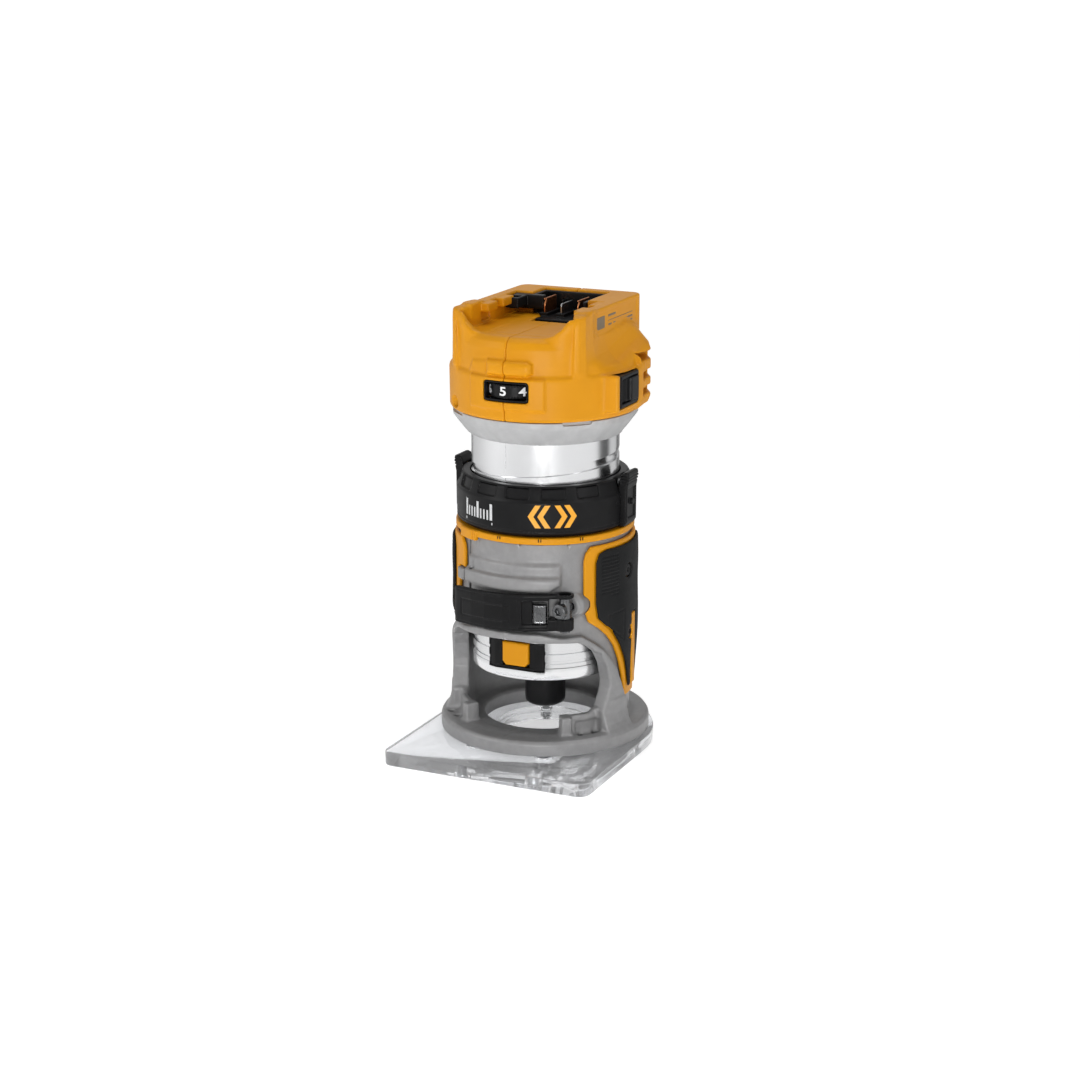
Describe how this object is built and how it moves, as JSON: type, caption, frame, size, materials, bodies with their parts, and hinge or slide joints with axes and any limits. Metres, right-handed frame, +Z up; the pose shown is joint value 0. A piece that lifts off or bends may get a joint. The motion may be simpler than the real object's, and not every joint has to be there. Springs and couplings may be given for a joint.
{
  "type": "trim router",
  "caption": "Cordless trim router: a motor with a spindle and collet slides in a clamping base, set by a depth ring and locked by a lever.",
  "frame": {"origin": "centre of the footprint at the underside of the sub-base; the spindle axis stands 9 mm behind it", "axes": "+Z up along the spindle, +X to the operator's right, -Y to the front with the clamp lever and the window"},
  "size_m": [0.104, 0.122, 0.2113],
  "materials": {
    "clear_plastic": "clear polycarbonate, polished",
    "cast_metal": "cast aluminium under a satin grey coat",
    "machined_metal": "bright turned",
    "skirt_metal": "satin grey",
    "yellow_plastic": "moulded, fine grain",
    "black_plastic": "moulded, satin",
    "grip_rubber": "overmoulded, ribbed",
    "steel": "bright zinc",
    "black_steel": "black oxide",
    "copper": "bare copper and plated blades",
    "circuit_board": "lacquered board",
    "lens": "clear lens"
  },
  "bodies": {
    "base": {"sub_base": "clear_plastic", "sub_base_screw_1": "steel", "sub_base_screw_2": "steel", "sub_base_screw_3": "steel", "sub_base_screw_4": "steel", "base_casting": "cast_metal", "trim_ring": "yellow_plastic", "guide_pin": "steel", "grip_frame_left": "yellow_plastic", "grip_frame_right": "yellow_plastic", "grip_pad_left": "grip_rubber", "grip_pad_right": "grip_rubber", "grip_screw_left_upper": "black_steel", "grip_screw_left_lower": "black_steel", "grip_screw_right_upper": "black_steel", "grip_screw_right_lower": "black_steel", "lever_pin": "steel", "tension_screw": "black_steel", "clamp_barrel": "black_steel"},
    "lever": {"lock_lever": "black_plastic"},
    "ring": {"depth_ring": "black_plastic", "tab_pin_left": "steel", "tab_pin_right": "steel", "tab_spring_left": "steel", "tab_spring_right": "steel"},
    "tab_left": {"release_tab_left": "black_plastic"},
    "tab_right": {"release_tab_right": "black_plastic"},
    "motor": {"motor_can": "machined_metal", "lock_panel": "black_plastic", "lock_spring": "steel", "lamp_lens_left": "lens", "lamp_lens_right": "lens", "stator": "steel", "stator_windings": "copper", "motor_end_plate": "cast_metal", "lower_bearing": "steel", "upper_bearing": "steel", "motor_skirt": "skirt_metal", "housing_left": "yellow_plastic", "housing_right": "yellow_plastic", "housing_screw_1": "black_steel", "housing_screw_2": "black_steel", "housing_screw_3": "black_steel", "housing_screw_4": "black_steel", "terminal_block": "black_plastic", "terminal_blade_1": "copper", "terminal_blade_2": "copper", "terminal_blade_3": "copper", "dial_bezel": "black_plastic", "switch_bezel": "black_plastic", "switch_module": "black_plastic", "control_board": "circuit_board"},
    "lock": {"lock_button": "yellow_plastic"},
    "dial": {"speed_dial": "black_plastic"},
    "rocker": {"power_rocker": "black_plastic"},
    "spindle": {"motor_shaft": "steel", "rotor_core": "steel", "cooling_fan": "black_plastic"},
    "collet": {"collet": "steel"},
    "nut": {"collet_nut": "black_steel"}
  },
  "joints": [
    {"name": "ring_turn", "type": "hinge", "parent": "base", "child": "ring", "pos_m": [0, 0.009, 0.12], "axis": [0, 0, 1], "range_deg": [-577, 337]},
    {"name": "motor_height", "type": "slide", "parent": "base", "child": "motor", "axis": [0, 0, 1], "range_m": [-0.014, 0.024]},
    {"name": "lever_swing", "type": "hinge", "parent": "base", "child": "lever", "pos_m": [0.02658, -0.02731, 0.0764], "axis": [0, 0, 1], "range_deg": [0, 100]},
    {"name": "tab_left_squeeze", "type": "hinge", "parent": "ring", "child": "tab_left", "pos_m": [-0.0388, 0.009, 0.1207], "axis": [0, 1, 0], "range_deg": [0, 7], "stiffness_Nm_per_rad": 0.3, "springref_deg": -6.88},
    {"name": "tab_right_squeeze", "type": "hinge", "parent": "ring", "child": "tab_right", "pos_m": [0.0388, 0.009, 0.1207], "axis": [0, -1, 0], "range_deg": [0, 7], "stiffness_Nm_per_rad": 0.3, "springref_deg": -6.88},
    {"name": "spindle_spin", "type": "hinge", "parent": "motor", "child": "spindle", "pos_m": [0, 0.009, 0.05], "axis": [0, 0, 1], "continuous": true},
    {"name": "collet_drop", "type": "slide", "parent": "spindle", "child": "collet", "axis": [0, 0, -1], "range_m": [0, 0.002]},
    {"name": "nut_turn", "type": "hinge", "parent": "collet", "child": "nut", "pos_m": [0, 0.009, 0.026], "axis": [0, 0, -1], "range_deg": [0, 721]},
    {"name": "lock_press", "type": "slide", "parent": "motor", "child": "lock", "axis": [0, 1, 0], "range_m": [0, 0.0028], "stiffness_N_per_m": 800, "springref_m": -0.003},
    {"name": "dial_turn", "type": "hinge", "parent": "motor", "child": "dial", "pos_m": [0.0006, -0.0242, 0.1766], "axis": [0, 0, 1], "range_deg": [-160, 80]},
    {"name": "switch_rock", "type": "hinge", "parent": "motor", "child": "rocker", "pos_m": [0.043, 0.0005, 0.175], "axis": [0, 0, 1], "range_deg": [0, 14]}
  ],
  "couplings": [
    {"joint": "ring_turn", "follows": "motor_height", "rad_per_m": -418.88},
    {"joint": "nut_turn", "follows": "collet_drop", "rad_per_m": 6283.2}
  ]
}
